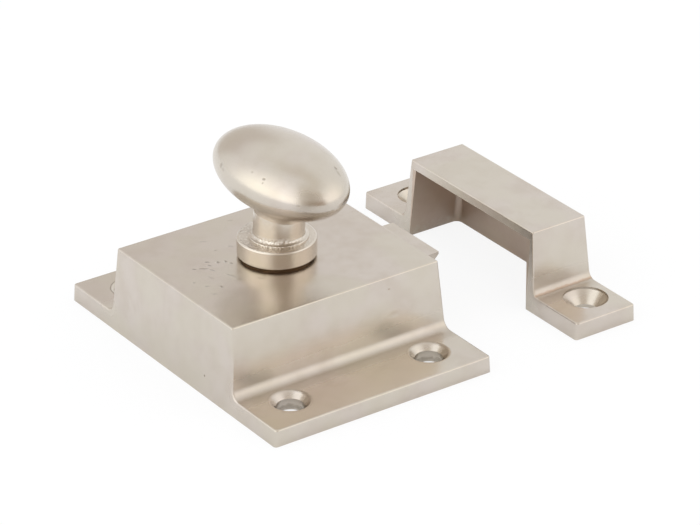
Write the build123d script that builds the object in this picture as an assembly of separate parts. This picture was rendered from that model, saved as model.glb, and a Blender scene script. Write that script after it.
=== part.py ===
from build123d import *
from math import atan2, cos, degrees, hypot, pi, radians, sin, tan
import os

# Cupboard catch with a turn knob, and the keeper that its bolt enters.
# The knob turns a cam inside the cast case, which draws the sprung bolt back.
# X runs along the bolt towards the keeper, Y across the flanges, Z out of the door.
# The origin is on the knob's axis, in the plane of the door's face.
# All sizes are in millimetres.

# Case, outside
plate_width = 44.2
plate_length = 63.5
flange_thickness = 3.1
case_height = 15.65
case_top_length = 35.6
case_foot_length = 37.8
case_end_draft = 1.1
case_root_radius = 1.7
case_corner_radius = 0.55
edge_radius = 0.3
smooth_join_angle = 5.0

# Case, inside
side_wall = 2.8
end_wall = 3.35
top_wall = 3.05
screw_post_radius = 2.6
screw_post_inset = 2.1
guide_rib_width = 1.6
bearing_wall = 2.2

# Screw holes through the flanges
latch_hole_spacing_x = 28.4
latch_hole_from_foot = 5.7
latch_hole_bore = 4.8
latch_hole_sink = 6.9
latch_hole_rim_radius = 0.8
latch_hole_land = 0.1
latch_sink_angle = 90.0

# Back plate and its screws
back_plate_thickness = 1.1
back_plate_setback = 0.1
back_plate_lap = 1.3
plate_screw_shank = 2.0
plate_screw_head = 3.8
plate_screw_length = 7.0
plate_screw_angle = 90.0
driver_slot_width = 0.5
driver_slot_depth = 0.4

# Bolt
bolt_width = 13.8
bolt_top_height = 10.3
bolt_throw = 7.2
bolt_bevel_angle = 47.0
bolt_tip_land = 0.25
bolt_nose_corner_radius = 0.2
bolt_plate_thickness = 4.45
bolt_yoke_width = 18.0
bolt_lip_thickness = 3.15

# Spindle and cam
journal_diameter = 6.9
spindle_square = 4.6
spindle_press_diameter = 5.2
spindle_press_length = 8.0
cam_thickness = 2.4
cam_seat_depth = 3.8
cam_front_depth = 4.6
cam_front_half_width = 3.6
cam_tip_land_angle = 8.0
cam_washer_thickness = 0.5
cam_washer_diameter = 6.6
cam_screw_shank = 2.5
cam_screw_head = 4.4
cam_screw_head_height = 1.1
cam_screw_length = 6.5

# Thrust washer under the collar
thrust_washer_thickness = 0.4
thrust_washer_diameter = 12.4

# Knob
collar_diameter = 13.8
collar_height = 3.25
collar_edge_radius = 0.3
neck_foot_diameter = 10.4
neck_foot_height = 0.35
neck_diameter = 8.95
neck_base_radius = 0.5
neck_top_radius = 2.2
knob_centre_above_collar = 11.85
knob_width = 19.0
knob_length = 30.4
knob_depth = 12.4
neck_lean = 2.4
neck_offset = 0.33
neck_aside_angle = -35.0

# Bolt spring
spring_diameter = 6.8
spring_wire = 0.7
spring_turns = 5.0
spring_peg_length = 2.5
spring_wall_peg_length = 1.5

# Keeper
keeper_gap = 18.4
keeper_depth = 13.05
keeper_length = 63.0
keeper_foot_thickness = 3.2
keeper_height = 15.0
keeper_top_length = 35.8
keeper_foot_length = 38.3
keeper_end_draft = 0.8
keeper_root_radius = 1.5
keeper_corner_radius = 0.55
keeper_top_wall = 1.65
keeper_side_wall = 1.55
keeper_back_wall = 2.05
keeper_pocket_draft = 1.05
keeper_pocket_radius = 1.2
keeper_hole_spacing = 49.2
keeper_hole_set_back = 0.95
keeper_hole_bore = 4.4
keeper_hole_sink = 8.0
keeper_sink_angle = 82.0
keeper_sink_lip = 0.45

# Clearances
bolt_side_clearance = 0.15
bolt_floor_clearance = 0.25
bolt_stop_clearance = 0.2
slot_clearance = 0.3
journal_clearance = 0.05
cam_contact_clearance = 0.05
cam_swing_clearance = 0.3
cam_plate_clearance = 0.25
square_clearance = 0.03
seat_clearance = 0.03
plate_clearance = 0.1
washer_clearance = 0.05
spring_clearance = 0.05
spring_peg_clearance = 0.35

# How far cutters run past the faces they open
cut_margin = 1.0

# Levels and places that follow from the sizes above
plate_end = plate_width / 2
back_plate_bottom = back_plate_setback
back_plate_top = back_plate_bottom + back_plate_thickness
cavity_half_x = plate_end - end_wall
cavity_half_y = case_top_length / 2 - side_wall
cavity_ceiling = case_height - top_wall
guide_level = bolt_top_height + bolt_side_clearance
bolt_bottom = back_plate_top + bolt_floor_clearance
bolt_plate_bottom = bolt_top_height - bolt_plate_thickness
bolt_tip = plate_end + bolt_throw
bolt_travel = bolt_throw

# The cam's flanks are involutes, so the bolt's travel is in step with the knob's turn.
quarter_turn = pi / 2
cam_base_radius = bolt_travel / quarter_turn
cam_reach = cam_seat_depth + bolt_travel
cam_tip_radius = hypot(cam_reach, cam_base_radius)
cam_top = bolt_plate_bottom - cam_plate_clearance
cam_bottom = cam_top - cam_thickness

bolt_lip_front = -(cam_seat_depth + cam_contact_clearance)
bolt_lip_back = bolt_lip_front - bolt_lip_thickness
bolt_nose_rear = cam_reach + cam_swing_clearance + bolt_travel
bolt_shoulder = cavity_half_x - bolt_stop_clearance
spring_axis_height = (bolt_bottom + bolt_top_height) / 2
spring_peg_radius = spring_diameter / 2 - spring_wire - spring_peg_clearance

thrust_washer_bottom = case_height + washer_clearance
collar_bottom = thrust_washer_bottom + thrust_washer_thickness
collar_top = collar_bottom + collar_height
knob_centre = collar_top + knob_centre_above_collar
bearing_radius = journal_diameter / 2 + journal_clearance

# The flange holes stand off the case's foot, and their rims are rounded as far as the flange has room.
latch_hole_x = latch_hole_spacing_x / 2
latch_hole_y = case_foot_length / 2 + latch_hole_from_foot
rim_room = plate_length / 2 - edge_radius - latch_hole_land - latch_hole_y - latch_hole_sink / 2
rim_turn = quarter_turn - radians(latch_sink_angle / 2)
latch_rim_radius = min(latch_hole_rim_radius, rim_room / tan(rim_turn / 2))

screw_post_x = cavity_half_x - screw_post_inset
screw_post_y = cavity_half_y - screw_post_inset
keeper_centre_x = plate_end + keeper_gap + keeper_depth / 2


def box_between(low, high):
    """Block with its edges along the axes, from one corner to the opposite one."""
    size = [top - bottom for bottom, top in zip(low, high)]
    middle = [(top + bottom) / 2 for bottom, top in zip(low, high)]
    return Pos(*middle) * Box(*size)


def upright_cylinder(radius, bottom, top):
    """Cylinder on the knob's axis between two heights."""
    return Pos(0, 0, bottom) * Cylinder(radius, top - bottom, align=(Align.CENTER, Align.CENTER, Align.MIN))


def turned(outline):
    """Solid turned about the Z axis from an outline of (radius, height) points."""
    points = [(radius, 0, height) for radius, height in outline]
    return revolve(make_face(Polyline(*points, close=True)), Axis.Z)


def flanged_body(length, top_length, foot_length, flange, height, root_radius, depth, draft):
    """Raised body between two screw flanges, its ends leaning in by the draft towards the top."""
    side = [
        (-length / 2, 0),
        (length / 2, 0),
        (length / 2, flange),
        (foot_length / 2, flange),
        (top_length / 2, height),
        (-top_length / 2, height),
        (-foot_length / 2, flange),
        (-length / 2, flange),
    ]
    section = make_face(Polyline(*side, close=True))
    roots = [v for v in section.vertices() if abs(abs(v.X) - foot_length / 2) < edge_radius and v.Y > 0]
    section = fillet(roots, root_radius)
    body = extrude(Plane.YZ * section, depth / 2, both=True)
    end = [(-depth / 2, 0), (depth / 2, 0), (depth / 2 - draft, height), (draft - depth / 2, height)]
    drafted = extrude(Plane.XZ * make_face(Polyline(*end, close=True)), length, both=True)
    return body & drafted


def soften(body, corner_radius):
    """Round the four standing corners of the flanges, then every outer edge above the door."""
    low = [e for e in body.edges() if e.center().Z < flange_thickness and e.length < 2 * flange_thickness]
    standing = [e for e in low if abs((e @ 0).Z - (e @ 1).Z) > flange_thickness / 2]
    body = fillet(standing, corner_radius)
    upper = [e for e in body.edges() if max((e @ 0).Z, (e @ 1).Z, (e @ 0.5).Z) > edge_radius]
    crisp = [e for e in upper if min((e @ 0).Z, (e @ 1).Z) > edge_radius]
    return fillet(sharp_edges(body, crisp), edge_radius)


def sharp_edges(body, edges):
    """Those edges whose two faces meet at an angle, not the ones where a round runs out smoothly."""
    found = []
    for edge in edges:
        faces = [f for f in body.faces() if any(edge.is_same(other) for other in f.edges())]
        if len(faces) == 2:
            middle = edge @ 0.5
            if faces[0].normal_at(middle).dot(faces[1].normal_at(middle)) < cos(radians(smooth_join_angle)):
                found.append(edge)
    return found


def countersunk_cutter(bore, sink, thickness, angle, lip=0):
    """Cutter for a countersunk hole through a flange on z = 0, with any upright lip above its cone."""
    slope = tan(radians(angle / 2))
    cone_top = thickness - lip
    mouth = sink / 2 if lip else sink / 2 + cut_margin * slope
    return turned([
        (0, -cut_margin),
        (bore / 2, -cut_margin),
        (bore / 2, cone_top - (sink - bore) / 2 / slope),
        (sink / 2, cone_top),
        (mouth, thickness + cut_margin),
        (0, thickness + cut_margin),
    ])


def ring_edges(body, height, diameter):
    """Round edges of this diameter that lie level at this height."""
    rings = body.edges().filter_by(GeomType.CIRCLE)
    level = [e for e in rings if abs(e.arc_center.Z - height) < seat_clearance]
    return [e for e in level if abs(e.radius - diameter / 2) < seat_clearance]


def corner_places(x, y):
    """The four places at plus and minus x and y."""
    return [Pos(sx * x, sy * y, 0) for sx in (-1, 1) for sy in (-1, 1)]


def make_case():
    """Cast case: flanged shell, open at the back, with a bearing, guide ribs and screw posts inside."""
    shell = flanged_body(plate_length, case_top_length, case_foot_length, flange_thickness,
                         case_height, case_root_radius, plate_width, case_end_draft)
    shell = soften(shell, case_corner_radius)
    shell -= box_between((-cavity_half_x, -cavity_half_y, -cut_margin),
                         (cavity_half_x, cavity_half_y, cavity_ceiling))

    bearing = upright_cylinder(bearing_radius + bearing_wall, guide_level, case_height - top_wall / 2)
    rib_reach = bolt_width / 2 + guide_rib_width / 2
    for side in (-1, 1):
        near, far = sorted((side * (rib_reach - guide_rib_width), side * rib_reach))
        shell += box_between((-cavity_half_x, near, guide_level), (cavity_half_x, far, cavity_ceiling))
    post = upright_cylinder(screw_post_radius, back_plate_top, cavity_ceiling)
    for place in corner_places(screw_post_x, screw_post_y):
        shell += place * post
    shell += bearing
    wall_peg = Cylinder(spring_peg_radius, 2 * spring_wall_peg_length, rotation=(0, 90, 0))
    shell += Pos(-cavity_half_x, 0, spring_axis_height) * wall_peg

    rebate_x = cavity_half_x + back_plate_lap
    rebate_y = cavity_half_y + back_plate_lap
    shell -= box_between((-rebate_x, -rebate_y, -cut_margin), (rebate_x, rebate_y, back_plate_top))
    mouth_half = bolt_width / 2 + bolt_side_clearance
    shell -= box_between((cavity_half_x - cut_margin, -mouth_half, -cut_margin),
                         (plate_end + cut_margin, mouth_half, guide_level))
    shell -= upright_cylinder(bearing_radius, 0, case_height + cut_margin)
    screw_hole = upright_cylinder(plate_screw_shank / 2 + seat_clearance, 0, plate_screw_length)
    for place in corner_places(screw_post_x, screw_post_y):
        shell -= place * screw_hole
    sink = countersunk_cutter(latch_hole_bore, latch_hole_sink, flange_thickness, latch_sink_angle)
    for place in corner_places(latch_hole_x, latch_hole_y):
        shell -= place * sink
    return fillet(ring_edges(shell, flange_thickness, latch_hole_sink), latch_rim_radius)


def make_back_plate():
    """Sheet plate in the case's rebate, with a tongue that runs under the bolt's nose."""
    half_x = cavity_half_x + back_plate_lap - plate_clearance
    half_y = cavity_half_y + back_plate_lap - plate_clearance
    plate = box_between((-half_x, -half_y, back_plate_bottom), (half_x, half_y, back_plate_top))
    tongue_end = plate_end - case_end_draft / 2
    half_tongue = bolt_width / 2
    plate += box_between((0, -half_tongue, back_plate_bottom), (tongue_end, half_tongue, back_plate_top))
    sink = countersunk_cutter(plate_screw_shank + 2 * seat_clearance, plate_screw_head, back_plate_thickness,
                              plate_screw_angle)
    sink = Pos(0, 0, back_plate_top) * mirror(sink, Plane.XY)
    for place in corner_places(screw_post_x, screw_post_y):
        plate -= place * sink
    return plate


def make_plate_screw():
    """Small countersunk screw, its slotted head flush with the back of the plate."""
    head = plate_screw_head / 2 - seat_clearance
    shank = plate_screw_shank / 2
    screw = turned([
        (0, back_plate_bottom),
        (head, back_plate_bottom),
        (shank, back_plate_bottom + head - shank),
        (shank, plate_screw_length - seat_clearance),
        (0, plate_screw_length - seat_clearance),
    ])
    slot = box_between((-head, -driver_slot_width / 2, 0),
                       (head, driver_slot_width / 2, back_plate_bottom + driver_slot_depth))
    return screw - slot


def make_bolt():
    """Bolt: bevelled nose, slotted plate over the cam, and the lip behind the cam that it pushes."""
    half_yoke = bolt_yoke_width / 2
    half_nose = bolt_width / 2
    top = bolt_top_height
    bolt = box_between((bolt_lip_back, -half_yoke, bolt_plate_bottom), (bolt_shoulder, half_yoke, top))
    bolt += box_between((bolt_lip_back, -half_yoke, bolt_bottom), (bolt_lip_front, half_yoke, top))
    bolt += box_between((0, -half_nose, bolt_plate_bottom), (bolt_tip, half_nose, top))
    bolt += box_between((bolt_nose_rear, -half_nose, bolt_bottom), (bolt_tip, half_nose, top))
    tip_corners = [e for e in bolt.edges().filter_by(Axis.Z) if e.center().X > bolt_tip - edge_radius]
    bolt = fillet(tip_corners, bolt_nose_corner_radius)

    bevel_top = bolt_top_height - bolt_tip_land
    bevel_drop = bevel_top - bolt_bottom + cut_margin
    bevel = [
        (bolt_tip + cut_margin, bevel_top + cut_margin * tan(radians(bolt_bevel_angle))),
        (bolt_tip - bevel_drop / tan(radians(bolt_bevel_angle)), bevel_top - bevel_drop),
        (bolt_tip + cut_margin, bevel_top - bevel_drop),
    ]
    bolt -= extrude(Plane.XZ * make_face(Polyline(*bevel, close=True)), bolt_width, both=True)

    slot_width = journal_diameter + 2 * slot_clearance
    slot = extrude(Pos(bolt_travel / 2, 0, 0) * SlotCenterToCenter(bolt_travel, slot_width), case_height)
    bolt -= slot
    peg = Cylinder(spring_peg_radius, 2 * spring_peg_length, rotation=(0, 90, 0))
    return bolt + Pos(bolt_lip_back, 0, spring_axis_height) * peg


def make_spring():
    """Compression spring from the bolt's lip to the case's end wall."""
    room = cavity_half_x + bolt_lip_back
    wire_run = room - spring_wire - 2 * spring_clearance
    coil_radius = (spring_diameter - spring_wire) / 2
    start = bolt_lip_back - spring_clearance - spring_wire / 2
    path = Helix(wire_run / spring_turns, wire_run, coil_radius,
                 center=(start, 0, spring_axis_height), direction=(-1, 0, 0))
    section = Plane(origin=path @ 0, z_dir=path % 0) * Circle(spring_wire / 2)
    return sweep(section, path=path, is_frenet=True)


def make_spindle():
    """Steel spindle: pressed into the knob, round in the case and square in the cam."""
    spindle = upright_cylinder(journal_diameter / 2, cam_top, collar_bottom)
    spindle += upright_cylinder(spindle_press_diameter / 2, cam_top, collar_bottom + spindle_press_length)
    half = spindle_square / 2
    square_bottom = cam_bottom + seat_clearance
    spindle += box_between((-half, -half, square_bottom), (half, half, cam_top + seat_clearance))
    thread_top = cam_bottom + cam_screw_length
    return spindle - upright_cylinder(cam_screw_shank / 2 + seat_clearance, 0, thread_top)


def cam_flank_point(turn):
    """Point of the cam that touches the bolt's lip once the knob has turned this far, in radians."""
    reach = cam_seat_depth + cam_base_radius * turn
    x = cam_base_radius * sin(turn) - reach * cos(turn)
    y = cam_base_radius * cos(turn) + reach * sin(turn)
    return (x, y)


def make_cam():
    """Cam plate with two equal lobes and a flat back that rests on the bolt's lip."""
    flank_steps = 8
    flank = Spline(*[cam_flank_point(quarter_turn * step / flank_steps) for step in range(flank_steps + 1)])
    tip_angle = degrees(atan2(cam_reach, cam_base_radius))
    tip = CenterArc((0, 0), cam_tip_radius, tip_angle - cam_tip_land_angle, cam_tip_land_angle)
    back = Polyline((-cam_seat_depth, 0), (-cam_seat_depth, cam_base_radius))
    corner = (cam_front_depth, cam_front_half_width)
    front = Polyline(tip @ 0, corner, (cam_front_depth, 0), (-cam_seat_depth, 0))
    lobe = extrude(make_face(Curve() + [back, flank, tip, front]), cam_thickness)
    cam = Pos(0, 0, cam_bottom) * (lobe + mirror(lobe, Plane.XZ))
    half = spindle_square / 2 + square_clearance
    return cam - box_between((-half, -half, 0), (half, half, case_height))


def make_cam_washer():
    """Plain washer between the cam and the head of its screw."""
    bottom = cam_bottom - cam_washer_thickness
    ring = upright_cylinder(cam_washer_diameter / 2, bottom, cam_bottom)
    return ring - upright_cylinder(cam_screw_shank / 2 + seat_clearance, 0, case_height)


def make_cam_screw():
    """Slotted screw that holds the cam and its washer on the spindle."""
    head_top = cam_bottom - cam_washer_thickness
    head_bottom = head_top - cam_screw_head_height
    screw = upright_cylinder(cam_screw_head / 2, head_bottom, head_top)
    shank_end = cam_bottom + cam_screw_length - seat_clearance
    screw += upright_cylinder(cam_screw_shank / 2, head_bottom, shank_end)
    slot = box_between((-cam_screw_head, -driver_slot_width / 2, 0),
                       (cam_screw_head, driver_slot_width / 2, head_bottom + driver_slot_depth))
    return screw - slot


def make_thrust_washer():
    """Thin washer that carries the collar just clear of the case."""
    ring = upright_cylinder(thrust_washer_diameter / 2, thrust_washer_bottom, collar_bottom)
    return ring - upright_cylinder(bearing_radius, 0, case_height + top_wall)


def make_knob():
    """Oval knob, waisted neck and round collar, cast in one; the neck stands aside and leans a little."""
    foot_top = collar_top + neck_foot_height
    collar = upright_cylinder(collar_diameter / 2, collar_bottom, collar_top)
    collar = fillet(collar.edges().filter_by(GeomType.CIRCLE), collar_edge_radius)
    foot = upright_cylinder(neck_foot_diameter / 2, collar_top - collar_edge_radius, foot_top)
    foot = fillet(ring_edges(foot, foot_top, neck_foot_diameter), neck_foot_height / 2)

    stem = upright_cylinder(neck_diameter / 2, collar_top - collar_height / 2, knob_centre)
    stem += Pos(0, 0, knob_centre) * scale(Sphere(1), by=(knob_width / 2, knob_length / 2, knob_depth / 2))
    oval_bottom = knob_centre - knob_depth / 2
    high = [e for e in stem.edges() if oval_bottom < e.center().Z < knob_centre - seat_clearance]
    joins = [e for e in high if e.bounding_box().size.X > neck_diameter / 2]
    stem = fillet(joins, neck_top_radius)
    across = radians(neck_aside_angle + 90)
    stem = stem.rotate(Axis((0, 0, collar_top), (cos(across), sin(across), 0)), neck_lean)

    neck = foot + stem
    level = [e for e in neck.edges() if abs(e.center().Z - foot_top) < seat_clearance]
    neck_foot = [e for e in level if abs(e.bounding_box().size.X - neck_diameter) < neck_base_radius]
    neck = fillet(neck_foot, neck_base_radius)
    aside = radians(neck_aside_angle)
    knob = collar + Pos(neck_offset * cos(aside), neck_offset * sin(aside), 0) * neck
    socket = upright_cylinder(spindle_press_diameter / 2 + seat_clearance, 0,
                              collar_bottom + spindle_press_length + seat_clearance)
    return knob - socket


def make_keeper():
    """Cast keeper: a bridge with a foot at each end and a pocket that the bolt's nose enters."""
    body = flanged_body(keeper_length, keeper_top_length, keeper_foot_length, keeper_foot_thickness,
                        keeper_height, keeper_root_radius, keeper_depth, keeper_end_draft)
    body = soften(body, keeper_corner_radius)
    half_top = keeper_top_length / 2 - keeper_side_wall
    half_foot = half_top + keeper_pocket_draft
    ceiling = keeper_height - keeper_top_wall
    mouth = [(-half_foot, -cut_margin), (half_foot, -cut_margin), (half_top, ceiling), (-half_top, ceiling)]
    pocket_depth = keeper_depth - keeper_back_wall + cut_margin
    pocket = extrude(Plane.YZ * make_face(Polyline(*mouth, close=True)), pocket_depth)
    pocket = Pos(-keeper_depth / 2 - cut_margin, 0, 0) * pocket
    back_x = keeper_depth / 2 - keeper_back_wall
    inner = [e for e in pocket.edges() if abs(e.center().X - back_x) < seat_clearance and e.center().Z > 0]
    body -= fillet(inner, keeper_pocket_radius)
    sink = countersunk_cutter(keeper_hole_bore, keeper_hole_sink, keeper_foot_thickness,
                              keeper_sink_angle, keeper_sink_lip)
    for side in (-1, 1):
        body -= Pos(keeper_hole_set_back, side * keeper_hole_spacing / 2, 0) * sink
    return Pos(keeper_centre_x, 0, 0) * body


nodes = {
    "latch_case": make_case(),
    "back_plate": make_back_plate(),
    "knob": make_knob(),
    "spindle": make_spindle(),
    "thrust_washer": make_thrust_washer(),
    "cam": make_cam(),
    "cam_washer": make_cam_washer(),
    "cam_screw": make_cam_screw(),
    "bolt": make_bolt(),
    "bolt_spring": make_spring(),
    "keeper": make_keeper(),
}
for number, place in enumerate(corner_places(screw_post_x, screw_post_y), start=1):
    nodes[f"plate_screw_{number}"] = place * make_plate_screw()

os.makedirs("parts", exist_ok=True)
for name, shape in nodes.items():
    export_step(shape, f"parts/{name}.step")
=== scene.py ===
"""Looks of a cupboard catch latch: satin nickel castings, plain steel works inside and a pale studio."""

import logging
import math
from dataclasses import dataclass
from enum import Enum

import bpy
from mathutils import Euler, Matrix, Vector


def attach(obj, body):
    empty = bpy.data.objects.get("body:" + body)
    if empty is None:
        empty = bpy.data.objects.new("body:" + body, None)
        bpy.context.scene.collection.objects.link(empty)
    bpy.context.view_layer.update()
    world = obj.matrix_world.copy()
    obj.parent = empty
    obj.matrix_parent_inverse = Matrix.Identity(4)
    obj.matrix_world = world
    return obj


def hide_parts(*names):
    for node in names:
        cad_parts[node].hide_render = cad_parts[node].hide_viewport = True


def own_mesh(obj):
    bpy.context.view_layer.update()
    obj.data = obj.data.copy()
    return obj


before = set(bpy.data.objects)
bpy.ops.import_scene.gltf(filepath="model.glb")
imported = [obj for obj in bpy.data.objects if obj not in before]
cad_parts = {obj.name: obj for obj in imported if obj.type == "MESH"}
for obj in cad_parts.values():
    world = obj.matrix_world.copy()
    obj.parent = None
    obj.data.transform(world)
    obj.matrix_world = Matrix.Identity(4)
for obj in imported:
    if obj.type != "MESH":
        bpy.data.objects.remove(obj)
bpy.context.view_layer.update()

MM = 0.001

# A range that eases in and out. Noise runs from about 0.3 to 0.7, and a range says which part of it counts.
SMOOTH = {"interpolation_type": "SMOOTHSTEP"}

# A Mix node for colours: its setting, where its two colours go in and where the mixed one comes out.
COLOURS = {"data_type": "RGBA"}
FIRST = 6
SECOND = 7
MIXED = 2

log = logging.getLogger("cupboard_catch")

Tree = bpy.types.NodeTree
Socket = bpy.types.NodeSocket
Material = bpy.types.Material
Object = bpy.types.Object
Triple = tuple[float, float, float]


class Grain(Enum):
    """Which way the polishing belt, the rollers, the lathe or the die ran over a piece."""

    ALONG_BOLT = (1, 0, 0)
    ALONG_FLANGES = (0, 1, 0)
    OUT_OF_DOOR = (0, 0, 1)

    def size(self, along: float, across: float) -> Triple:
        """A line's size on each axis, long this way and narrow across it."""
        return tuple(along if way else across for way in self.value)


def linear(hex_colour: str) -> tuple[float, float, float, float]:
    """Turns an sRGB hex colour into linear red, green, blue and alpha, by the standard's own curve.

    Args:
        hex_colour: six hex digits after a hash sign.

    Returns:
        The colour in linear light, with an alpha of 1.
    """
    channels = [int(hex_colour[i:i + 2], 16) / 255 for i in (1, 3, 5)]
    lit = [c / 12.92 if c <= 0.04045 else ((c + 0.055) / 1.055) ** 2.4 for c in channels]
    return (*lit, 1.0)


WHITE = linear("#FFFFFF")


def new_material(name: str) -> Material:
    """Makes an empty material with nodes.

    Args:
        name: the material's name.

    Returns:
        The material.
    """
    material = bpy.data.materials.new(name)
    material.use_nodes = True
    return material


def add_node(tree: Tree, kind: str, settings: dict | None = None,
             links: dict | None = None) -> bpy.types.Node:
    """Adds a node with its settings and links.

    Args:
        tree: the node tree that gets the node.
        kind: the node's type, without the leading ShaderNode.
        settings: values by field name, or by input name or index.
        links: output sockets by input name or index.

    Returns:
        The new node.
    """
    node = tree.nodes.new("ShaderNode" + kind)
    for name, value in (settings or {}).items():
        if isinstance(name, str) and name not in node.inputs:
            setattr(node, name, value)
        else:
            node.inputs[name].default_value = value
    for name, socket in (links or {}).items():
        tree.links.new(socket, node.inputs[name])
    return node


def stretched_noise(tree: Tree, place: Socket, size_mm: Triple, detail: float, roughness: float) -> Socket:
    """Noise whose blobs have the given real size along each axis.

    Args:
        tree: the material's node tree.
        place: the coordinates in metres.
        size_mm: the blobs' size along x, y and z in millimetres.
        detail: how many finer layers the noise has.
        roughness: how strong the finer layers are.

    Returns:
        The noise's value, about 0.5 on average.
    """
    scale = [1 / (side * MM) for side in size_mm]
    mapping = add_node(tree, "Mapping", {"Scale": scale}, {"Vector": place})
    noise = add_node(tree, "TexNoise", {"Scale": 1.0, "Detail": detail, "Roughness": roughness},
                     {"Vector": mapping.outputs["Vector"]})
    return noise.outputs["Fac"]


def add_object(name: str, data: bpy.types.ID) -> Object:
    """Adds an object to the scene.

    Args:
        name: the object's name.
        data: its mesh, lamp or camera.

    Returns:
        The new object.
    """
    thing = bpy.data.objects.new(name, data)
    bpy.context.scene.collection.objects.link(thing)
    return thing


class Outline(Enum):
    """The shape of a mark's edge."""

    OVAL = "oval"
    RING = "ring"
    BOX = "box"


@dataclass(frozen=True)
class Mark:
    """A dent, speck, dull place, tarnish or patch of painted shade, placed on the piece in millimetres.

    It is turned about +Z and strongest within its core, a share of its radii. A ring follows
    the outline instead, and is the thinner the nearer its core is to 1. A mirrored mark lies at
    plus and minus its place along every axis.
    """

    place_mm: Triple
    radii_mm: Triple
    turn_degrees: float = 0.0
    depth_mm: float = 0.0
    darkness: float = 0.0
    core: float = 0.35
    dullness: float = 0.0
    outline: Outline = Outline.OVAL
    mirrored: bool = False

    def cover(self, tree: Tree, place: Socket) -> Socket:
        """How strongly the mark lies on a point.

        Args:
            tree: the material's node tree.
            place: the coordinates in metres.

        Returns:
            1 in the mark's core, fading to 0 at its outline.
        """
        if self.mirrored:
            folded = add_node(tree, "VectorMath", {"operation": "ABSOLUTE"}, {0: place})
            place = folded.outputs["Vector"]
        local = add_node(tree, "Mapping", {"vector_type": "TEXTURE",
                                           "Location": [side * MM for side in self.place_mm],
                                           "Rotation": (0.0, 0.0, math.radians(self.turn_degrees)),
                                           "Scale": [radius * MM for radius in self.radii_mm]},
                         {"Vector": place})
        solid, gone = self.core, 1.0
        if self.outline is Outline.BOX:
            distance = self.box_distance(tree, local.outputs["Vector"])
        else:
            length = add_node(tree, "VectorMath", {"operation": "LENGTH"}, {0: local.outputs["Vector"]})
            distance = length.outputs["Value"]
        if self.outline is Outline.RING:
            off = add_node(tree, "Math", {"operation": "SUBTRACT", 1: 1.0}, {0: distance})
            distance = add_node(tree, "Math", {"operation": "ABSOLUTE"}, {0: off.outputs[0]}).outputs[0]
            solid, gone = 0.0, 1.0 - self.core
        fade = add_node(tree, "MapRange",
                        SMOOTH | {"From Min": solid, "From Max": gone, "To Min": 1.0, "To Max": 0.0},
                        {"Value": distance})
        return fade.outputs["Result"]

    def box_distance(self, tree: Tree, local: Socket) -> Socket:
        """How far out a point is in a box, on the axis where it is furthest.

        Args:
            tree: the material's node tree.
            local: the point, where the box's sides are at 1.

        Returns:
            0 in the box's middle and 1 on its sides.
        """
        sides = add_node(tree, "VectorMath", {"operation": "ABSOLUTE"}, {0: local})
        parts = add_node(tree, "SeparateXYZ", {}, {"Vector": sides.outputs["Vector"]})
        level = add_node(tree, "Math", {"operation": "MAXIMUM"},
                         {0: parts.outputs["X"], 1: parts.outputs["Y"]})
        widest = add_node(tree, "Math", {"operation": "MAXIMUM"},
                          {0: level.outputs[0], 1: parts.outputs["Z"]})
        return widest.outputs[0]


def sum_marks(tree: Tree, covers: list[Socket], weights: list[float]) -> Socket | None:
    """Adds up marks, each by its weight.

    Args:
        tree: the material's node tree.
        covers: how strongly each mark lies on a point.
        weights: what each mark counts for.

    Returns:
        The sum, or nothing where no mark has a weight.
    """
    total = None
    for cover, weight in zip(covers, weights):
        if weight:
            node = add_node(tree, "Math", {"operation": "MULTIPLY_ADD", 1: weight, 2: 0.0}, {0: cover})
            if total is not None:
                tree.links.new(total, node.inputs[2])
            total = node.outputs[0]
    return total


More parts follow.
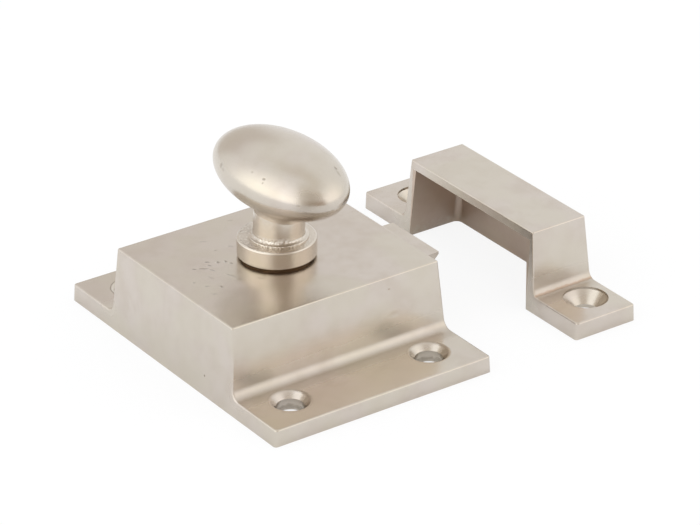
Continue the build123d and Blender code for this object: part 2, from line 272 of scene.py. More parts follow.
@dataclass(frozen=True)
class SatinNickel:
    """Satin nickel plate on cast brass, belt polished along one way and then softly brushed.

    The eye sees a warm pale grey that mirrors large shapes in a blur, with faint lines along
    the belt's way, cloudy patches where the plate took the brush unevenly, wider ones where it
    has turned cream, and a few pin holes. The lines are drawn about three times as wide as the
    belt's grit leaves them, so that they show.

    Smoother and rougher say how far the roughness strays in the clouds. A pin hole's floor and
    rim are shares of the spacing between holes.
    """

    name: str
    grain: Grain
    tint: str = "#CFC6BD"
    shade: str = "#C9BFB4"
    cloud_mm: float = 4.5
    cream: str = "#CEC7B9"
    cream_mm: float = 10.0
    cream_share: float = 0.6
    roughness: float = 0.25
    smoother: float = 0.015
    rougher: float = 0.02
    line_width_mm: float = 0.22
    line_length_mm: float = 14.0
    line_height_mm: float = 0.0016
    wave_mm: float = 9.0
    wave_height_mm: float = 0.005
    pit_spacing_mm: float = 5.5
    pit_share: float = 0.10
    pit_floor: float = 0.02
    pit_rim: float = 0.05
    pit_depth_mm: float = 0.02
    pit_shade: str = "#8A7C6E"
    marks: tuple[Mark, ...] = ()
    # The colour marks darken towards: dirt and wear in some, painted shade in others.
    dirt_and_painted_shade_colour: str = "#8F8576"
    ragged_mm: float = 0.35

    def material(self) -> Material:
        """Builds the finish.

        Returns:
            The material.
        """
        material = new_material(self.name)
        tree = material.node_tree
        surface = tree.nodes["Principled BSDF"]
        surface.inputs["Metallic"].default_value = 1.0
        place = add_node(tree, "TexCoord").outputs["Object"]
        cloud = stretched_noise(tree, place, (self.cloud_mm,) * 3, detail=3.0, roughness=0.6)
        pits = self.pits(tree, place)
        covers = self.mark_covers(tree, place)
        plate = self.plate_colour(tree, place, cloud, covers)
        dark = add_node(tree, "Mix", COLOURS | {SECOND: linear(self.pit_shade)}, {0: pits, FIRST: plate})
        tree.links.new(self.cast_colour(tree, place, dark.outputs[MIXED]), surface.inputs["Base Color"])
        tree.links.new(self.blur(tree, cloud, covers), surface.inputs["Roughness"])
        relief = self.relief(tree, place, pits, covers)
        tree.links.new(self.rough_cast(tree, place, relief), surface.inputs["Normal"])
        return material

    def plate_colour(self, tree: Tree, place: Socket, cloud: Socket, covers: list[Socket]) -> Socket:
        """Mixes the plate's clouds, its cream patches and its marks' darkening, dirt in some and painted
        shade in others.

        Args:
            tree: the material's node tree.
            place: the coordinates in metres.
            cloud: how the plate took the brush.
            covers: how strongly each mark lies on a point.

        Returns:
            The plate's colour.
        """
        shaded = add_node(tree, "MapRange", SMOOTH | {"From Min": 0.35, "From Max": 0.7}, {"Value": cloud})
        base = add_node(tree, "Mix", COLOURS | {FIRST: linear(self.tint), SECOND: linear(self.shade)},
                        {0: shaded.outputs["Result"]})
        wide = stretched_noise(tree, place, (self.cream_mm,) * 3, detail=1.0, roughness=0.5)
        creamy = add_node(tree, "MapRange",
                          SMOOTH | {"From Min": 0.38, "From Max": 0.62, "To Max": self.cream_share},
                          {"Value": wide})
        colour = add_node(tree, "Mix", COLOURS | {SECOND: linear(self.cream)},
                          {0: creamy.outputs["Result"], FIRST: base.outputs[MIXED]})
        # Marks darken the colour: dirt and wear in some, painted shade and a painted reflection in others.
        dirt_and_painted_shade = sum_marks(tree, covers, [mark.darkness for mark in self.marks])
        if dirt_and_painted_shade is not None:
            colour = add_node(tree, "Mix", COLOURS | {SECOND: linear(self.dirt_and_painted_shade_colour)},
                              {0: dirt_and_painted_shade, FIRST: colour.outputs[MIXED]})
        return colour.outputs[MIXED]

    def blur(self, tree: Tree, cloud: Socket, covers: list[Socket]) -> Socket:
        """How rough the plate is, a little uneven from cloud to cloud and duller under some marks.

        Args:
            tree: the material's node tree.
            cloud: how the plate took the brush.
            covers: how strongly each mark lies on a point.

        Returns:
            The roughness.
        """
        uneven = add_node(tree, "MapRange",
                          SMOOTH | {"From Min": 0.3, "From Max": 0.75,
                                    "To Min": self.roughness - self.smoother,
                                    "To Max": self.roughness + self.rougher}, {"Value": cloud})
        dull = sum_marks(tree, covers, [mark.dullness for mark in self.marks])
        if dull is None:
            return uneven.outputs["Result"]
        both = add_node(tree, "Math", {"operation": "ADD"}, {0: uneven.outputs["Result"], 1: dull})
        return both.outputs[0]

    def relief(self, tree: Tree, place: Socket, pits: Socket, covers: list[Socket]) -> Socket:
        """Raises the belt's slow waves and its lines, and sinks the pin holes and dents.

        Args:
            tree: the material's node tree.
            place: the coordinates in metres.
            pits: where the pin holes are.
            covers: how strongly each mark lies on a point.

        Returns:
            The surface's normal.
        """
        waves = stretched_noise(tree, place, (self.wave_mm,) * 3, detail=1.0, roughness=0.5)
        hand = add_node(tree, "Bump", {"Distance": self.wave_height_mm * MM}, {"Height": waves})
        lines = stretched_noise(tree, place, self.grain.size(self.line_length_mm, self.line_width_mm),
                                detail=2.0, roughness=0.55)
        brush = add_node(tree, "Bump", {"Distance": self.line_height_mm * MM},
                         {"Height": lines, "Normal": hand.outputs["Normal"]})
        holes = add_node(tree, "Bump", {"Distance": self.pit_depth_mm * MM, "invert": True},
                         {"Height": pits, "Normal": brush.outputs["Normal"]})
        dents = sum_marks(tree, covers, [mark.depth_mm * MM for mark in self.marks])
        if dents is None:
            return holes.outputs["Normal"]
        hollow = add_node(tree, "Bump", {"Distance": 1.0, "invert": True},
                          {"Height": dents, "Normal": holes.outputs["Normal"]})
        return hollow.outputs["Normal"]

    def mark_covers(self, tree: Tree, place: Socket) -> list[Socket]:
        """How strongly each mark lies on a point, with ragged outlines.

        Args:
            tree: the material's node tree.
            place: the coordinates in metres.

        Returns:
            One value for each mark.
        """
        if not self.marks:
            return []
        size = 1 / (self.ragged_mm * 2 * MM)
        noise = add_node(tree, "TexNoise", {"Scale": size, "Detail": 2.0}, {"Vector": place})
        shift = add_node(tree, "VectorMath", {"operation": "SUBTRACT", 1: (0.5, 0.5, 0.5)},
                         {0: noise.outputs["Color"]})
        ragged = add_node(tree, "VectorMath", {"operation": "MULTIPLY_ADD", 1: (self.ragged_mm * MM,) * 3},
                          {0: shift.outputs["Vector"], 2: place})
        return [mark.cover(tree, ragged.outputs["Vector"]) for mark in self.marks]

    def pits(self, tree: Tree, place: Socket) -> Socket:
        """Pin holes left by the casting: small round spots in a few of the cells around random points.

        Args:
            tree: the material's node tree.
            place: the coordinates in metres.

        Returns:
            1 on a hole's floor and 0 past its rim.
        """
        size = 1 / (self.pit_spacing_mm * MM)
        cells = add_node(tree, "TexVoronoi", {"feature": "F1", "Scale": size}, {"Vector": place})
        spot = add_node(tree, "MapRange",
                        SMOOTH | {"From Min": self.pit_floor, "From Max": self.pit_rim, "To Min": 1.0,
                                  "To Max": 0.0}, {"Value": cells.outputs["Distance"]})
        chosen = add_node(tree, "SeparateColor", {}, {"Color": cells.outputs["Color"]})
        here = add_node(tree, "Math", {"operation": "LESS_THAN", 1: self.pit_share},
                        {0: chosen.outputs["Red"]})
        both = add_node(tree, "Math", {"operation": "MULTIPLY"},
                        {0: spot.outputs["Result"], 1: here.outputs[0]})
        return both.outputs[0]

    def rough_cast(self, tree: Tree, place: Socket, normal: Socket) -> Socket:
        """Leaves the surface as it is: this finish has no place that the belt missed."""
        return normal

    def cast_colour(self, tree: Tree, place: Socket, colour: Socket) -> Socket:
        """Leaves the colour as it is, for the same reason."""
        return colour


@dataclass(frozen=True)
class KnobNickel(SatinNickel):
    """Satin nickel on the knob, with the sand-cast skin still on top of the collar.

    The belt can't reach the top of the collar and the foot of the neck, so they keep the
    mould's grain, with painted shade in its pits and painted glints on its tips. The neck and
    the collar's side were turned, and are painted a little brighter as painted light. Heights are above the
    door.
    """

    cast_low_mm: float = 19.1
    cast_low_fade_mm: float = 0.15
    cast_high_mm: float = 21.0
    cast_high_fade_mm: float = 1.1
    cast_radius_mm: float = 6.8
    cast_rim_fade_mm: float = 0.25
    worn_from_x_mm: float = -2.5
    worn_to_x_mm: float = 4.0
    worn_share: float = 0.25
    sand_mm: float = 0.34
    sand_depth_mm: float = 0.13
    # Painted shade in the sand's pits and painted glints on its tips.
    sand_pits_painted_shade: str = "#A3988B"
    sand_tips_painted_glint: str = "#EBE4DA"
    sand_share: float = 0.65
    patch_mm: float = 5.0
    patch_share: float = 0.4
    # Painted light: below this height the neck and the collar's side take a brighter tint.
    foot_painted_light_tint: str = "#D6CDC1"
    painted_light_top_mm: float = 23.5
    painted_light_fade_mm: float = 2.0

    def cast_place(self, tree: Tree, place: Socket) -> Socket:
        """Finds the skin between two heights, inside the collar's rim, worn smoother on its right.

        Args:
            tree: the material's node tree.
            place: the coordinates in metres.

        Returns:
            1 on the sand-cast skin and 0 elsewhere.
        """
        parts = add_node(tree, "SeparateXYZ", {}, {"Vector": place})
        flat = add_node(tree, "CombineXYZ", {}, {"X": parts.outputs["X"], "Y": parts.outputs["Y"]})
        length = add_node(tree, "VectorMath", {"operation": "LENGTH"}, {0: flat.outputs["Vector"]})
        height, across, radius = parts.outputs["Z"], parts.outputs["X"], length.outputs["Value"]
        patches = stretched_noise(tree, place, (self.patch_mm,) * 3, detail=1.0, roughness=0.5)
        low, high, rim = self.cast_low_mm, self.cast_high_mm, self.cast_radius_mm
        skin = None
        for value, start, stop, at_start, at_stop in (
                (height, low * MM, (low + self.cast_low_fade_mm) * MM, 0.0, 1.0),
                (height, (high - self.cast_high_fade_mm) * MM, high * MM, 1.0, 0.0),
                (radius, (rim - self.cast_rim_fade_mm) * MM, rim * MM, 1.0, 0.0),
                (across, self.worn_from_x_mm * MM, self.worn_to_x_mm * MM, 1.0, self.worn_share),
                (patches, 0.3, 0.6, self.patch_share, 1.0)):
            share = add_node(tree, "MapRange",
                             SMOOTH | {"From Min": start, "From Max": stop, "To Min": at_start,
                                       "To Max": at_stop}, {"Value": value})
            product = add_node(tree, "Math", {"operation": "MULTIPLY", 1: 1.0}, {0: share.outputs["Result"]})
            if skin is not None:
                tree.links.new(skin, product.inputs[1])
            skin = product.outputs[0]
        return skin

    def sand(self, tree: Tree, place: Socket) -> Socket:
        """The mould's grain, low in its pits and high on its tips."""
        return stretched_noise(tree, place, (self.sand_mm,) * 3, detail=2.0, roughness=0.6)

    def rough_cast(self, tree: Tree, place: Socket, normal: Socket) -> Socket:
        """Adds the sand's grain to the skin.

        Args:
            tree: the material's node tree.
            place: the coordinates in metres.
            normal: the polished plate's normal.

        Returns:
            The normal with the grain.
        """
        height = add_node(tree, "Math", {"operation": "MULTIPLY"},
                          {0: self.sand(tree, place), 1: self.cast_place(tree, place)})
        bump = add_node(tree, "Bump", {"Distance": self.sand_depth_mm * MM},
                        {"Height": height.outputs[0], "Normal": normal})
        return bump.outputs["Normal"]

    def cast_colour(self, tree: Tree, place: Socket, colour: Socket) -> Socket:
        """Paints light onto the turned foot as a brighter tint, paints shade into the sand's pits and paints
        glints onto its tips.

        Args:
            tree: the material's node tree.
            place: the coordinates in metres.
            colour: the polished plate's colour.

        Returns:
            The colour with both.
        """
        parts = add_node(tree, "SeparateXYZ", {}, {"Vector": place})
        # Painted light: the foot below its height turns to the brighter tint.
        low = add_node(tree, "MapRange",
                       SMOOTH | {"From Min": self.painted_light_top_mm * MM, "To Min": 1.0,
                                 "From Max": (self.painted_light_top_mm + self.painted_light_fade_mm) * MM, "To Max": 0.0},
                       {"Value": parts.outputs["Z"]})
        turned = add_node(tree, "Mix", COLOURS | {SECOND: linear(self.foot_painted_light_tint)},
                          {0: low.outputs["Result"], FIRST: colour})
        # Painted shade and glints: the sand's pits turn darker and its tips brighter.
        tips = add_node(tree, "MapRange", SMOOTH | {"From Min": 0.38, "From Max": 0.62},
                        {"Value": self.sand(tree, place)})
        grains = add_node(tree, "Mix",
                          COLOURS | {FIRST: linear(self.sand_pits_painted_shade), SECOND: linear(self.sand_tips_painted_glint)},
                          {0: tips.outputs["Result"]})
        share = add_node(tree, "Math", {"operation": "MULTIPLY", 1: self.sand_share},
                         {0: self.cast_place(tree, place)})
        mixed = add_node(tree, "Mix", COLOURS,
                         {0: share.outputs[0], FIRST: turned.outputs[MIXED], SECOND: grains.outputs[MIXED]})
        return mixed.outputs[MIXED]


@dataclass(frozen=True)
class PlainMetal:
    """Metal as it was rolled, turned or drawn, left bare: the steel works and the bronze washer.

    The eye sees a cooler, darker grey than the nickel, with fine lines along one way and faint
    brown clouds where oil has dried. On the washer a dark brown is painted shade for the gap
    under the collar. The lines are drawn a few times as wide as real ones, so that they show.
    Smoother and rougher say how far the roughness strays from line to line.
    """

    name: str
    grain: Grain
    tint: str = "#B9B8B6"
    shade: str = "#A29C94"
    oil_mm: float = 6.0
    roughness: float = 0.3
    smoother: float = 0.06
    rougher: float = 0.08
    line_width_mm: float = 0.15
    line_length_mm: float = 20.0
    line_height_mm: float = 0.003

    def material(self) -> Material:
        """Builds the finish.

        Returns:
            The material.
        """
        material = new_material(self.name)
        tree = material.node_tree
        surface = tree.nodes["Principled BSDF"]
        surface.inputs["Metallic"].default_value = 1.0
        place = add_node(tree, "TexCoord").outputs["Object"]
        lines = stretched_noise(tree, place, self.grain.size(self.line_length_mm, self.line_width_mm),
                                detail=2.0, roughness=0.6)
        cloud = stretched_noise(tree, place, (self.oil_mm,) * 3, detail=2.0, roughness=0.6)
        oily = add_node(tree, "MapRange", SMOOTH | {"From Min": 0.4, "From Max": 0.75}, {"Value": cloud})
        colour = add_node(tree, "Mix", COLOURS | {FIRST: linear(self.tint), SECOND: linear(self.shade)},
                          {0: oily.outputs["Result"]})
        tree.links.new(colour.outputs[MIXED], surface.inputs["Base Color"])
        streaks = add_node(tree, "MapRange",
                           SMOOTH | {"From Min": 0.3, "From Max": 0.7,
                                     "To Min": self.roughness - self.smoother,
                                     "To Max": self.roughness + self.rougher}, {"Value": lines})
        tree.links.new(streaks.outputs["Result"], surface.inputs["Roughness"])
        bump = add_node(tree, "Bump", {"Distance": self.line_height_mm * MM}, {"Height": lines})
        tree.links.new(bump.outputs["Normal"], surface.inputs["Normal"])
        return material


# How high the case's flat top stands above the door, and how far a scuff in it reaches up and down.
CASE_TOP_MM = 15.65
SCUFF_REACH_MM = 0.3


def scuff(x: float, y: float, long: float, wide: float, turn: float, depth: float, dark: float = 0.0) -> Mark:
    """A speck or scratch in the case's flat top, in millimetres and degrees."""
    return Mark((x, y, CASE_TOP_MM), (long, wide, SCUFF_REACH_MM), turn, depth, dark)


# Left of the knob the case is scuffed: a row of specks, a curved scratch, an arc beside the collar and pits.
# A faint stain lies on the near slope, and a short scratch near its upper edge. The roots of both flanges are
# dull, the holes' bores are darkened with painted shade, and their rims are darker, most of all the far left
# one.
CASE_MARKS = (
    scuff(-11.3, 4.6, 0.65, 0.3, -30, 0.05, 0.42),
    scuff(-9.8, 3.4, 0.5, 0.42, 0, 0.06, 0.5),
    scuff(-8.6, 2.9, 0.42, 0.42, 0, 0.07, 0.5),
    scuff(-8.2, 1.8, 0.5, 0.36, -50, 0.04, 0.4),
    scuff(-11.7, 3.2, 0.5, 0.3, -35, 0.04, 0.45),
    scuff(-13.2, 2.9, 1.3, 0.28, -34, 0.05, 0.42),
    scuff(-12.2, 1.6, 1.1, 0.24, -66, 0.05, 0.38),
    scuff(-10.7, -1.9, 1.7, 0.24, -66, 0.03, 0.26),
    scuff(-10.2, -3.9, 0.5, 0.35, -40, 0.03, 0.35),
    scuff(-14.5, 3.6, 0.6, 0.28, -35, 0.04, 0.5),
    scuff(-14.2, -4.4, 0.5, 0.45, 0, 0.06, 0.36),
    scuff(-16.1, -2.8, 0.7, 0.26, -35, 0.03, 0.35),
    scuff(-16.6, -5.9, 0.9, 0.26, -35, 0.03, 0.3),
    scuff(-17.2, -0.5, 0.4, 0.4, 0, 0.03, 0.35),
    scuff(-13.9, -0.6, 1.1, 0.5, -75, 0.02, 0.16),
    scuff(-7.8, 7.4, 0.5, 0.4, 0, 0.03, 0.3),
    scuff(-4.7, 7.2, 1.1, 0.24, -36, 0.03, 0.24),
    scuff(-7.7, 11.4, 1.1, 0.22, -36, 0.03, 0.35),
    scuff(-7.1, -5.6, 0.9, 0.18, -43, 0.04),
    scuff(0.5, 15.4, 0.8, 0.3, -40, 0.01, 0.25),
    Mark((9.6, -18.6, 6.9), (2.6, 1.5, 1.5), depth_mm=0.01, darkness=0.13, core=0.1),
    Mark((11.4, -18.5, 8.6), (1.6, 1.5, 0.8), depth_mm=0.01, darkness=0.1, core=0.1),
    Mark((10.6, -18.0, 13.4), (0.35, 0.5, 0.18), depth_mm=0.03, darkness=0.3),
    Mark((0.0, 20.4, 4.4), (90.0, 3.1, 3.1), core=0.45, dullness=0.15, mirrored=True),
    # Painted shade inside the holes' bores.
    Mark((14.2, 24.6, 0.6), (2.55, 2.55, 1.75), darkness=0.62, core=0.9, dullness=0.08, mirrored=True),
    Mark((14.2, 24.6, 3.1), (3.74, 3.74, 9.0), darkness=0.16, core=0.94, outline=Outline.RING, mirrored=True),
    Mark((-14.2, 24.6, 3.1), (3.8, 3.8, 9.0), darkness=0.6, core=0.95, outline=Outline.RING),
)

# Inside its pocket the keeper is painted a darker brown, as painted shade. The brush left its two roots dull,
# with a thin crease whose dark line is painted shade.
KEEPER_MARKS = (
    # Painted shade: the pocket's inside turns a darker brown.
    Mark((46.1, 0.0, 0.0), (5.55, 17.42, 13.4), darkness=0.27, core=0.985, dullness=0.17,
         outline=Outline.BOX),
    Mark((47.0, 20.5, 4.3), (30.0, 3.2, 3.2), core=0.4, dullness=0.2, mirrored=True),
    # Painted shade along the crease, which is also sunk a little.
    Mark((46.6, 19.7, 3.5), (40.0, 0.3, 0.3), depth_mm=0.05, darkness=0.4, core=0.3, outline=Outline.BOX,
         mirrored=True),
)

# Small dents on the knob: one near its left end, specks on its near side and a crease on its right. Under its
# highlight lies a painted dark reflection, a little dull, and its underside is painted shade. The collar's
# lower edge on its left is painted shade over the gap below it, with a shallow dent.
KNOB_MARKS = (
    Mark((-7.9, 4.6, 33.0), (0.7, 0.7, 0.7), depth_mm=0.05, darkness=0.4),
    Mark((-8.3, 3.6, 32.7), (0.5, 0.7, 0.35), depth_mm=0.03, darkness=0.25),
    Mark((-6.6, -6.3, 34.4), (0.35, 0.4, 0.35), depth_mm=0.05, darkness=0.6),
    Mark((-7.1, -6.5, 33.9), (0.25, 0.25, 0.25), depth_mm=0.03, darkness=0.4),
    Mark((-7.1, -3.4, 34.7), (0.4, 0.4, 0.3), depth_mm=0.02, darkness=0.25),
    Mark((5.1, -10.3, 34.6), (0.5, 0.5, 0.5), depth_mm=0.06, darkness=0.6),
    Mark((4.85, -11.4, 34.2), (0.6, 1.5, 0.6), turn_degrees=12, depth_mm=0.03, darkness=0.3),
    Mark((-4.4, -13.2, 31.5), (0.6, 0.5, 0.25), depth_mm=0.02, darkness=0.25),
    # Painted dark reflection under the highlight, a little duller.
    Mark((-3.4, -13.9, 32.3), (3.4, 2.6, 2.2), darkness=0.34, core=0.1, dullness=0.06),
    # Painted shade on the knob's underside.
    Mark((-3.0, -14.6, 30.6), (6.5, 4.0, 2.1), darkness=0.32, core=0.2),
    # Painted shade along the collar's lower edge on its left, over the gap, with a shallow dent.
    Mark((-5.2, -4.4, 16.42), (4.2, 4.2, 0.3), depth_mm=0.03, darkness=0.6),
)


def dress(node: str, material: Material) -> None:
    """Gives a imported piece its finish.

    Args:
        node: the piece's name.
        material: the finish.
    """
    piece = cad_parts[node]
    piece.data.materials.clear()
    piece.data.materials.append(material)
    log.info("%s wears %s", node, material.name)


@dataclass
class LatchCase:
    """The cast case with the steel plate and screws that close its back."""

    screws: int = 4

    def build(self) -> None:
        """Dresses the case, its back plate and its screws."""
        dress("latch_case", SatinNickel("satin_nickel_case", Grain.ALONG_BOLT, marks=CASE_MARKS).material())
        dress("back_plate", PlainMetal("rolled_steel_plate", Grain.ALONG_BOLT).material())
        turned = PlainMetal("turned_steel_screw", Grain.ALONG_FLANGES, tint="#C2C0BC").material()
        for number in range(1, self.screws + 1):
            dress(f"plate_screw_{number}", turned)


@dataclass
class TurnKnob:
    """The knob with its spindle, its washer and the cam below."""

    def build(self) -> None:
        """Dresses every piece that turns with the knob."""
        dress("knob", KnobNickel("satin_nickel_knob", Grain.ALONG_FLANGES, line_height_mm=0.0010,
                                 pit_spacing_mm=6.0, marks=KNOB_MARKS).material())
        turned = PlainMetal("turned_steel_spindle", Grain.OUT_OF_DOOR).material()
        for node in ("spindle", "cam", "cam_washer", "cam_screw"):
            dress(node, turned)
        # Painted shade: the washer's dark brown stands for the shadowed gap under the collar.
        dress("thrust_washer", PlainMetal("bronze_washer_painted_shade", Grain.ALONG_FLANGES, tint="#7A634C",
                                          shade="#5E4B39", roughness=0.45).material())


@dataclass
class SprungBolt:
    """The bolt and the spring behind it, which stands between the case's wall and the bolt's lip.

    The coils are measured across their outside. The drawn share, the share of its length the spring would
    keep with the bolt drawn, is not used.
    """

    wire_mm: float = 0.7
    coil_mm: float = 6.8
    free_turns: float = 4.0
    closed_turns: float = 1.0
    seat_gap_mm: float = 0.06
    wall_x_mm: float = -18.75
    lip_x_mm: float = -7.0
    axis_z_mm: float = 5.88
    drawn_share: float = 0.386
    steps_per_turn: int = 36
    wire_sides: int = 12

    def build(self) -> None:
        """Dresses the bolt and makes the spring."""
        dress("bolt", SatinNickel("satin_nickel_bolt", Grain.ALONG_BOLT).material())
        self.make_spring()

    def turns(self) -> float:
        """How many turns the wire makes from end to end."""
        return self.free_turns + 2 * self.closed_turns

    def run(self) -> float:
        """How far along the spring's axis the wire's middle goes, in millimetres."""
        return self.lip_x_mm - self.wall_x_mm - 2 * self.seat_gap_mm - self.wire_mm

    def coil_height(self, turn: float) -> float:
        """How far along its axis the wire's middle is after this many turns.

        Args:
            turn: the turns made, from the wall's end.

        Returns:
            The share of the whole run, from 0 to 1.
        """
        closed = self.closed_turns * self.wire_mm
        if turn <= self.closed_turns:
            return turn * self.wire_mm / self.run()
        if turn >= self.turns() - self.closed_turns:
            return 1 - (self.turns() - turn) * self.wire_mm / self.run()
        free = (turn - self.closed_turns) / self.free_turns
        return (closed + free * (self.run() - 2 * closed)) / self.run()

    def wire_points(self, steps: int) -> list[Triple]:
        """Places rings of points about the wire's middle, from one end to the other.

        Args:
            steps: how many rings follow the first one.

        Returns:
            The points in metres, ring by ring.
        """
        start = self.wall_x_mm + self.seat_gap_mm + self.wire_mm / 2
        middle = (self.coil_mm - self.wire_mm) / 2
        points = []
        for step in range(steps + 1):
            turn = self.turns() * step / steps
            angle = 2 * math.pi * turn
            x = start + self.run() * self.coil_height(turn)
            for side in range(self.wire_sides):
                around = 2 * math.pi * side / self.wire_sides
                radius = middle + self.wire_mm / 2 * math.cos(around)
                points.append(((x + self.wire_mm / 2 * math.sin(around)) * MM,
                               radius * math.cos(angle) * MM,
                               (self.axis_z_mm + radius * math.sin(angle)) * MM))
        return points

    def wire_faces(self, steps: int) -> list[tuple[int, ...]]:
        """Joins the rings of points to the wire's skin and closes both ends.

        Args:
            steps: how many rings follow the first one.

        Returns:
            The faces, as places in the list of points.
        """
        sides = self.wire_sides
        faces = []
        for step in range(steps):
            here, ahead = step * sides, (step + 1) * sides
            for side in range(sides):
                after = (side + 1) % sides
                faces.append((here + side, here + after, ahead + after, ahead + side))
        faces.append(tuple(reversed(range(sides))))
        faces.append(tuple(range(steps * sides, (steps + 1) * sides)))
        return faces

    def make_spring(self) -> None:
        """Makes the compression spring with closed ends."""
        steps = int(self.turns() * self.steps_per_turn)
        faces = self.wire_faces(steps)
        mesh = bpy.data.meshes.new("return_spring")
        mesh.from_pydata(self.wire_points(steps), [], faces)
        mesh.polygons.foreach_set("use_smooth", [True] * len(faces))
        mesh.validate()
        mesh.materials.append(PlainMetal("drawn_spring_wire", Grain.ALONG_FLANGES, tint="#A9A7A4").material())
        spring = add_object("return_spring", mesh)
        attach(spring, "case")
        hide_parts("bolt_spring")
        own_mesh(spring)
        log.info("return_spring has %d faces", len(faces))


@dataclass
class Keeper:
    """The cast keeper that the bolt's nose enters."""

    def build(self) -> None:
        """Dresses the keeper."""
        # The keeper's marks darken towards a brown, the painted shade of its pocket and crease.
        dress("keeper", SatinNickel("satin_nickel_keeper", Grain.ALONG_FLANGES, marks=KEEPER_MARKS,
                                    dirt_and_painted_shade_colour="#B0835B").material())


def place_about(azimuth: float, height: float, distance: float) -> Triple:
    """Finds a place about the object.

    Args:
        azimuth: degrees about the object from +X.
        height: degrees above the floor.
        distance: metres from the origin.

    Returns:
        The place in metres.
    """
    level = distance * math.cos(math.radians(height))
    return (level * math.cos(math.radians(azimuth)), level * math.sin(math.radians(azimuth)),
            distance * math.sin(math.radians(height)))


@dataclass(frozen=True)
class MattPaper:
    """White paper, uncoated and so quite matt.

    The eye sees plain white, as in the photo's cut-out, on which the object keeps a faint soft
    shadow. The metal mirrors the paper a little paler than the lamps make it.
    """

    name: str = "matt_white_paper"
    colour: str = "#F4F5F6"
    roughness: float = 0.9
    white_to_camera: float = 0.88
    white_to_metal: float = 0.13

    def material(self) -> Material:
        """Builds the finish.

        Returns:
            The material.
        """
        material = new_material(self.name)
        tree = material.node_tree
        surface = tree.nodes["Principled BSDF"]
        surface.inputs["Base Color"].default_value = linear(self.colour)
        surface.inputs["Roughness"].default_value = self.roughness
        surface.inputs["Specular IOR Level"].default_value = 0.0
        rays = add_node(tree, "LightPath")
        metal = add_node(tree, "Math", {"operation": "MULTIPLY", 1: self.white_to_metal},
                         {0: rays.outputs["Is Glossy Ray"]})
        camera = add_node(tree, "Math", {"operation": "MULTIPLY", 1: self.white_to_camera},
                          {0: rays.outputs["Is Camera Ray"]})
        share = add_node(tree, "Math", {"operation": "MAXIMUM"}, {0: metal.outputs[0], 1: camera.outputs[0]})
        white = add_node(tree, "Emission", {"Color": WHITE, "Strength": 1.0})
        mix = add_node(tree, "MixShader", {}, {0: share.outputs[0], 1: surface.outputs["BSDF"],
                                               2: white.outputs["Emission"]})
        tree.links.new(mix.outputs["Shader"], tree.nodes["Material Output"].inputs["Surface"])
        return material


@dataclass(frozen=True)
class LitCloth:
    """Silk or grey cloth, lit from behind, that fades out towards its edges.

    The eye sees it in the metal alone, as a soft bright or grey field.
    """

    name: str
    colour: str
    level: float

    def material(self) -> Material:
        """Builds the finish.

        Returns:
            The material.
        """
        material = new_material(self.name)
        tree = material.node_tree
        glow = add_node(tree, "Emission", {"Color": linear(self.colour), "Strength": self.level})
        clear = add_node(tree, "BsdfTransparent")
        share = add_node(tree, "Attribute", {"attribute_name": "cover"})
        mix = add_node(tree, "MixShader", {}, {0: share.outputs["Fac"], 1: clear.outputs["BSDF"],
                                               2: glow.outputs["Emission"]})
        tree.links.new(mix.outputs["Shader"], tree.nodes["Material Output"].inputs["Surface"])
        return material


@dataclass(frozen=True)
class SoftBox:
    """A lamp with a soft oblong face, which lights the floor while the metal mirrors the scrims.

    Its azimuth from +X and its height above the floor are in degrees, its distance and its
    face's sides in metres. Its radiance is 1 where its face is as bright as the white surround.
    """

    name: str
    azimuth: float
    height: float
    distance: float
    face: tuple[float, float]
    radiance: float
    colour: str


@dataclass(frozen=True)
class Scrim:
    """A sheet of silk or grey cloth, curved about the object, whose edges fade out.

    Azimuths run about the object from +X and heights are above the floor, all in degrees. Its
    distance is in metres, and its level is 1 where it is as bright as the white surround.
    """

    name: str
    azimuths: tuple[float, float]
    heights: tuple[float, float]
    colour: str
    level: float = 1.0
    fade_sides: tuple[float, float] = (14.0, 14.0)
    fade_low: float = 0.1
    fade_high: float = 14.0
    distance: float = 1.0

    def direction(self, across: float, up: float) -> tuple[float, float]:
        """The azimuth and height of a place on the sheet, given as shares of its sides."""
        return (self.azimuths[0] + (self.azimuths[1] - self.azimuths[0]) * across,
                self.heights[0] + (self.heights[1] - self.heights[0]) * up)

    def cover(self, azimuth: float, height: float) -> float:
        """How much the sheet hides what is behind it in this direction, from 0 to 1.

        Args:
            azimuth: degrees about the object from +X.
            height: degrees above the floor.

        Returns:
            0 at its edges and 1 where it has faded in.
        """
        share = 1.0
        for room, fade in ((azimuth - self.azimuths[0], self.fade_sides[0]),
                           (self.azimuths[1] - azimuth, self.fade_sides[1]),
                           (height - self.heights[0], self.fade_low),
                           (self.heights[1] - height, self.fade_high)):
            part = min(max(room / fade, 0.0), 1.0)
            share *= part * part * (3 - 2 * part)
        return share


SOFT_BOXES = (
    SoftBox("soft_box_left", -175, 40, 1.1, (1.2, 0.8), 1.1, "#F0F5FF"),
    SoftBox("soft_box_right", -45, 40, 1.1, (0.9, 0.8), 0.5, "#FFE6D0"),
)

# Silk stands to the left and right of the castings, and grey cloth in front, behind and above, so that each
# of their sides mirrors a tone of its own. The low silk, before the left one, makes its foot brighter.
SCRIMS = (
    Scrim("left_silk", (113, 240), (-6, 88), "#FFFFFF", 1.58, fade_sides=(42, 46), fade_high=56),
    Scrim("right_silk", (-82, 16), (-1, 66), "#FFFCF8", 1.42, fade_sides=(10, 58), fade_low=16, fade_high=34),
    Scrim("warm_grey_scrim", (-147, -74), (-6, 58), "#C5B4A3", fade_sides=(14, 12), fade_high=50),
    Scrim("high_grey_scrim", (-156, -56), (32, 74), "#E3DBD2", fade_sides=(20, 18), fade_low=16),
    Scrim("overhead_scrim", (-160, 112), (54, 89), "#E9E4DD", 1.04, fade_sides=(25, 25), fade_low=20),
    Scrim("far_grey_scrim", (50, 108), (-6, 42), "#E3DDD8"),
    Scrim("low_silk", (130, 226), (0, 42), "#FFFFFA", 1.74, fade_sides=(30, 30), fade_low=10, fade_high=18,
          distance=0.97),
)


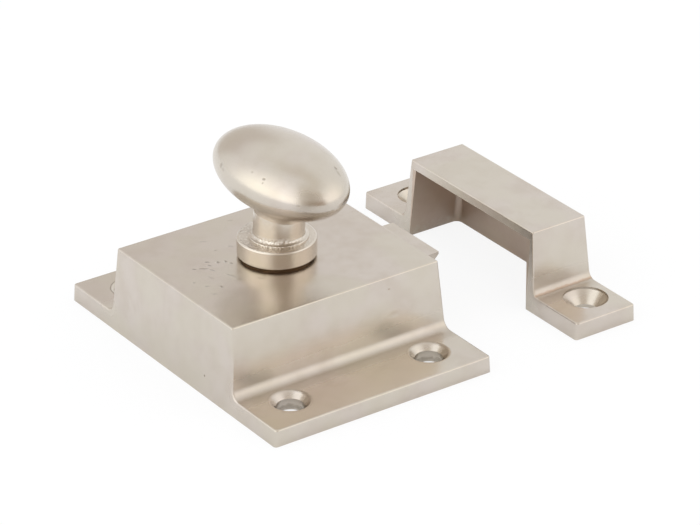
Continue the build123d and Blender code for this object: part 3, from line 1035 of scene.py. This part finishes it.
@dataclass
class Studio:
    """Pale floor, white surround, soft boxes, silk and grey scrims, and the camera.

    Places are in metres and the camera's turn is in radians.
    """

    floor_side: float = 6.0
    surround_level: float = 1.0
    scrim_steps: int = 40
    lens_mm: float = 187.284
    nearest_seen: float = 0.01
    camera_place: Triple = (-0.306445, -0.459526, 0.300929)
    camera_turn: Triple = (1.09161, 0.0037, -0.61258)

    def build(self) -> None:
        """Makes the floor, the world, the lamps, the scrims and the camera."""
        self.make_floor()
        self.make_world()
        for box in SOFT_BOXES:
            self.make_lamp(box)
        for scrim in SCRIMS:
            self.make_scrim(scrim)
        self.make_camera()

    def make_floor(self) -> None:
        """Makes a plain pale floor that shows white and keeps a soft shadow."""
        half = self.floor_side / 2
        mesh = bpy.data.meshes.new("floor")
        mesh.from_pydata([(-half, -half, 0), (half, -half, 0), (half, half, 0), (-half, half, 0)], [],
                         [(0, 1, 2, 3)])
        mesh.materials.append(MattPaper().material())
        floor = add_object("floor", mesh)

    def make_world(self) -> None:
        """Makes the white surround, which lights the object at a plain level and shows white."""
        world = bpy.data.worlds.new("white_surround")
        bpy.context.scene.world = world
        world.use_nodes = True
        background = world.node_tree.nodes["Background"]
        background.inputs["Color"].default_value = WHITE
        background.inputs["Strength"].default_value = self.surround_level

    def make_lamp(self, box: SoftBox) -> None:
        """Makes one soft box, turned towards the object.

        Args:
            box: its place, its face and its light.
        """
        place = Vector(place_about(box.azimuth, box.height, box.distance))
        data = bpy.data.lights.new(box.name, "AREA")
        data.shape = "RECTANGLE"
        data.size, data.size_y = box.face
        data.energy = box.radiance * math.pi * data.size * data.size_y
        data.color = linear(box.colour)[:3]
        lamp = add_object(box.name, data)
        lamp.location = place
        lamp.rotation_euler = (-place).to_track_quat("-Z", "Y").to_euler()
        lamp.visible_glossy = False

    def make_scrim(self, scrim: Scrim) -> None:
        """Makes a soft-edged scrim, curved about the object, that the metal mirrors and the camera can't see.

        Args:
            scrim: its place, its colour and how it fades out.
        """
        steps = self.scrim_steps
        points, cover, faces = [], [], []
        for row in range(steps + 1):
            for column in range(steps + 1):
                azimuth, height = scrim.direction(column / steps, row / steps)
                points.append(place_about(azimuth, height, scrim.distance))
                cover.append(scrim.cover(azimuth, height))
        for row in range(steps):
            for column in range(steps):
                here = row * (steps + 1) + column
                above = here + steps + 1
                faces.append((here, here + 1, above + 1, above))
        mesh = bpy.data.meshes.new(scrim.name)
        mesh.from_pydata(points, [], faces)
        mesh.attributes.new("cover", "FLOAT", "POINT").data.foreach_set("value", cover)
        mesh.materials.append(LitCloth("lit_" + scrim.name, scrim.colour, scrim.level).material())
        sheet = add_object(scrim.name, mesh)
        sheet.visible_camera = False
        sheet.visible_shadow = False
        sheet.visible_diffuse = False

    def make_camera(self) -> None:
        """Makes the camera at the photograph's viewing angle."""
        data = bpy.data.cameras.new("camera")
        data.lens = self.lens_mm
        data.clip_start = self.nearest_seen
        camera = add_object("camera", data)
        camera.location = self.camera_place
        camera.rotation_euler = Euler(self.camera_turn)
        bpy.context.scene.camera = camera


def main() -> None:
    """Builds the sub-assemblies in order, then the studio."""
    logging.basicConfig(level=logging.INFO, format="%(message)s")
    for part in (LatchCase(), TurnKnob(), SprungBolt(), Keeper(), Studio()):
        part.build()
        log.info("built %s", type(part).__name__)
    bpy.context.scene.view_settings.view_transform = "Standard"


if __name__ == "__main__":
    main()
